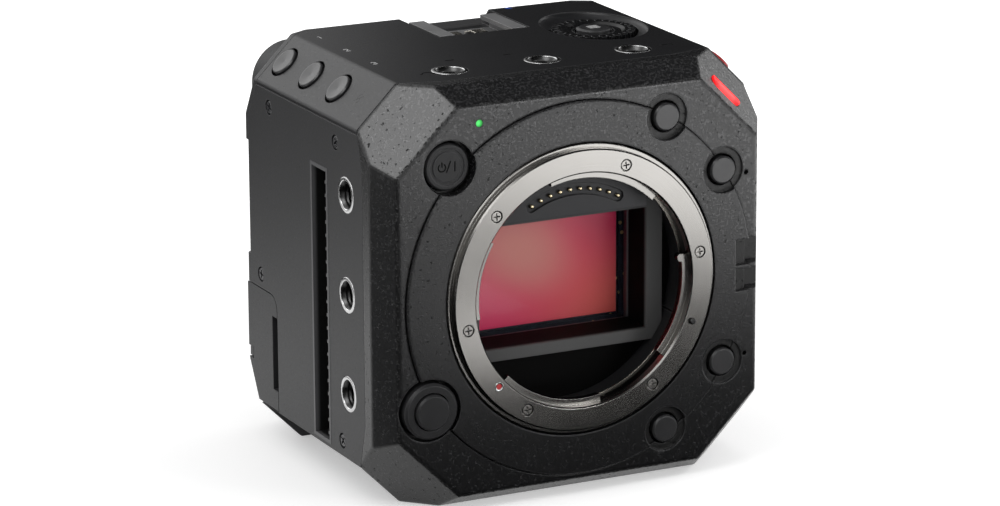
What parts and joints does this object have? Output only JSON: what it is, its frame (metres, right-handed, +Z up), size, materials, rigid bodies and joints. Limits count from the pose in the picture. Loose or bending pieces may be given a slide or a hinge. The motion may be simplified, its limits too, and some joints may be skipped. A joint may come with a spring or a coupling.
{
  "type": "box camera",
  "caption": "Box-shaped interchangeable-lens camera with chamfered edges, a round bayonet mount, front buttons, a top dial, vented sides and rear sockets.",
  "frame": {"origin": "centre of the lens mount's flange face, on the lens axis", "axes": "+X to the right facing the lens, +Y from the lens to the rear, +Z up"},
  "size_m": [0.0932, 0.0901, 0.0925],
  "materials": {
    "bezel_paint": "speckled charcoal paint",
    "cover_paint": "satin charcoal paint",
    "top_paint": "near-black satin paint",
    "rear_plastic": "fine-grained black plastic",
    "trim_black": "matt black plastic",
    "trim_grey": "satin charcoal trim",
    "door_paint": "satin charcoal paint",
    "mount_steel": "turned satin steel",
    "insert_steel": "bright turned steel",
    "screw_steel": "bright steel with cross recesses",
    "screw_black": "blackened steel",
    "spring_steel": "spring steel",
    "black_anodised": "black anodised",
    "shoe_metal": "satin grey steel",
    "cast_alloy": "bead-blasted alloy",
    "fin_alloy": "black anodised alloy",
    "contact_plastic": "matt black plastic",
    "contact_gold": "gold-plated",
    "index_red": "red enamel",
    "button_black": "satin black plastic",
    "button_red": "satin red plastic",
    "tally_red": "lit red lens",
    "lamp_clear": "small clear lens",
    "sensor_chip": "iridescent silicon",
    "sensor_glass": "clear coated glass",
    "board_green": "circuit board",
    "board_black": "dark sensor package",
    "fan_plastic": "black plastic",
    "socket_metal": "nickel-plated",
    "socket_plastic": "black plastic"
  },
  "bodies": {
    "camera_body": {"accessory_shoe": "shoe_metal", "audio_sockets": "socket_plastic", "base_cover": "cover_paint", "battery_plate": "trim_black", "battery_terminals": "socket_plastic", "bayonet_spring": "spring_steel", "card_door_pin": "spring_steel", "card_slot_unit": "trim_black", "chassis": "cast_alloy", "contact_block": "contact_plastic", "contact_pins": "contact_gold", "cover_screws": "screw_black", "dial_shaft": "black_anodised", "fin_cover": "fin_alloy", "flat_sockets": "socket_metal", "front_bezel": "bezel_paint", "front_panel": "bezel_paint", "heat_sink": "fin_alloy", "image_sensor": "sensor_chip", "index_dot": "index_red", "left_cover": "cover_paint", "lens_barrel": "black_anodised", "lens_mount_ring": "mount_steel", "light_baffle": "black_anodised", "main_board": "board_green", "mount_screws": "screw_steel", "network_lamp": "lamp_clear", "network_socket": "socket_plastic", "power_inlet": "socket_plastic", "rear_frame": "cover_paint", "rear_panel": "rear_plastic", "release_collar": "trim_black", "right_cover": "cover_paint", "sensor_board": "board_black", "sensor_carrier": "cast_alloy", "sensor_glass": "sensor_glass", "shoe_spring": "insert_steel", "status_lamp": "lamp_clear", "tally_lamp": "tally_red", "thread_inserts": "insert_steel", "top_cover": "top_paint", "tripod_insert": "insert_steel", "vent_trims": "trim_grey", "video_sockets": "socket_metal"},
    "power_button": {"power_button": "button_black"},
    "lens_release_button": {"lens_release_button": "button_black"},
    "lens_lock_pin": {"lens_lock_pin": "insert_steel"},
    "front_button_upper_inner": {"front_button_upper_inner": "button_black"},
    "front_button_upper_outer": {"front_button_upper_outer": "button_black"},
    "front_button_lower_outer": {"front_button_lower_outer": "button_black"},
    "front_button_lower_inner": {"front_button_lower_inner": "button_black"},
    "side_button_1": {"side_button_1": "button_black"},
    "side_button_2": {"side_button_2": "button_black"},
    "side_button_3": {"side_button_3": "button_black"},
    "record_button": {"record_button": "button_red"},
    "control_dial": {"control_dial": "black_anodised"},
    "dial_button": {"dial_button": "button_black"},
    "card_door": {"card_door": "door_paint"},
    "fan_rotor": {"fan_rotor": "fan_plastic"},
    "battery_latch": {"battery_latch": "socket_plastic"}
  },
  "joints": [
    {"name": "power_button_press", "type": "slide", "parent": "camera_body", "child": "power_button", "axis": [0, 1, 0], "range_m": [0, 0.0004], "stiffness_N_per_m": 2000, "springref_m": -0.0004},
    {"name": "front_button_upper_inner_press", "type": "slide", "parent": "camera_body", "child": "front_button_upper_inner", "axis": [0, 1, 0], "range_m": [0, 0.0004], "stiffness_N_per_m": 2000, "springref_m": -0.0004},
    {"name": "front_button_upper_outer_press", "type": "slide", "parent": "camera_body", "child": "front_button_upper_outer", "axis": [0, 1, 0], "range_m": [0, 0.0004], "stiffness_N_per_m": 2000, "springref_m": -0.0004},
    {"name": "front_button_lower_outer_press", "type": "slide", "parent": "camera_body", "child": "front_button_lower_outer", "axis": [0, 1, 0], "range_m": [0, 0.0004], "stiffness_N_per_m": 2000, "springref_m": -0.0004},
    {"name": "front_button_lower_inner_press", "type": "slide", "parent": "camera_body", "child": "front_button_lower_inner", "axis": [0, 1, 0], "range_m": [0, 0.0004], "stiffness_N_per_m": 2000, "springref_m": -0.0004},
    {"name": "lens_release_button_press", "type": "slide", "parent": "camera_body", "child": "lens_release_button", "axis": [0, 1, 0], "range_m": [0, 0.0018], "stiffness_N_per_m": 800, "springref_m": -0.0015},
    {"name": "lens_lock_pin_slide", "type": "slide", "parent": "camera_body", "child": "lens_lock_pin", "axis": [0, 1, 0], "range_m": [0, 0.0018]},
    {"name": "side_button_1_press", "type": "slide", "parent": "camera_body", "child": "side_button_1", "axis": [0.7071, 0, -0.7071], "range_m": [0, 0.0004], "stiffness_N_per_m": 2000, "springref_m": -0.0004},
    {"name": "side_button_2_press", "type": "slide", "parent": "camera_body", "child": "side_button_2", "axis": [0.7071, 0, -0.7071], "range_m": [0, 0.0004], "stiffness_N_per_m": 2000, "springref_m": -0.0004},
    {"name": "side_button_3_press", "type": "slide", "parent": "camera_body", "child": "side_button_3", "axis": [0.7071, 0, -0.7071], "range_m": [0, 0.0004], "stiffness_N_per_m": 2000, "springref_m": -0.0004},
    {"name": "record_button_press", "type": "slide", "parent": "camera_body", "child": "record_button", "axis": [-0.7071, 0, -0.7071], "range_m": [0, 0.0004], "stiffness_N_per_m": 2000, "springref_m": -0.0004},
    {"name": "dial_button_press", "type": "slide", "parent": "camera_body", "child": "dial_button", "axis": [0, 0, -1], "range_m": [0, 0.0004], "stiffness_N_per_m": 2000, "springref_m": -0.0004},
    {"name": "battery_latch_slide", "type": "slide", "parent": "camera_body", "child": "battery_latch", "axis": [0, 0, 1], "range_m": [0, 0.004], "stiffness_N_per_m": 300, "springref_m": -0.003},
    {"name": "control_dial_turn", "type": "hinge", "parent": "camera_body", "child": "control_dial", "pos_m": [0.0252, 0.045, 0.044], "axis": [0, 0, 1], "continuous": true},
    {"name": "fan_rotor_spin", "type": "hinge", "parent": "camera_body", "child": "fan_rotor", "pos_m": [0, 0.032, -0.00475], "axis": [0, 1, 0], "continuous": true},
    {"name": "card_door_swing", "type": "hinge", "parent": "camera_body", "child": "card_door", "pos_m": [-0.0454, 0.0732, -0.0234], "axis": [0, 0, -1], "range_deg": [0, 95]}
  ],
  "couplings": [
    {"joint": "lens_lock_pin_slide", "follows": "lens_release_button_press", "ratio": 1}
  ]
}
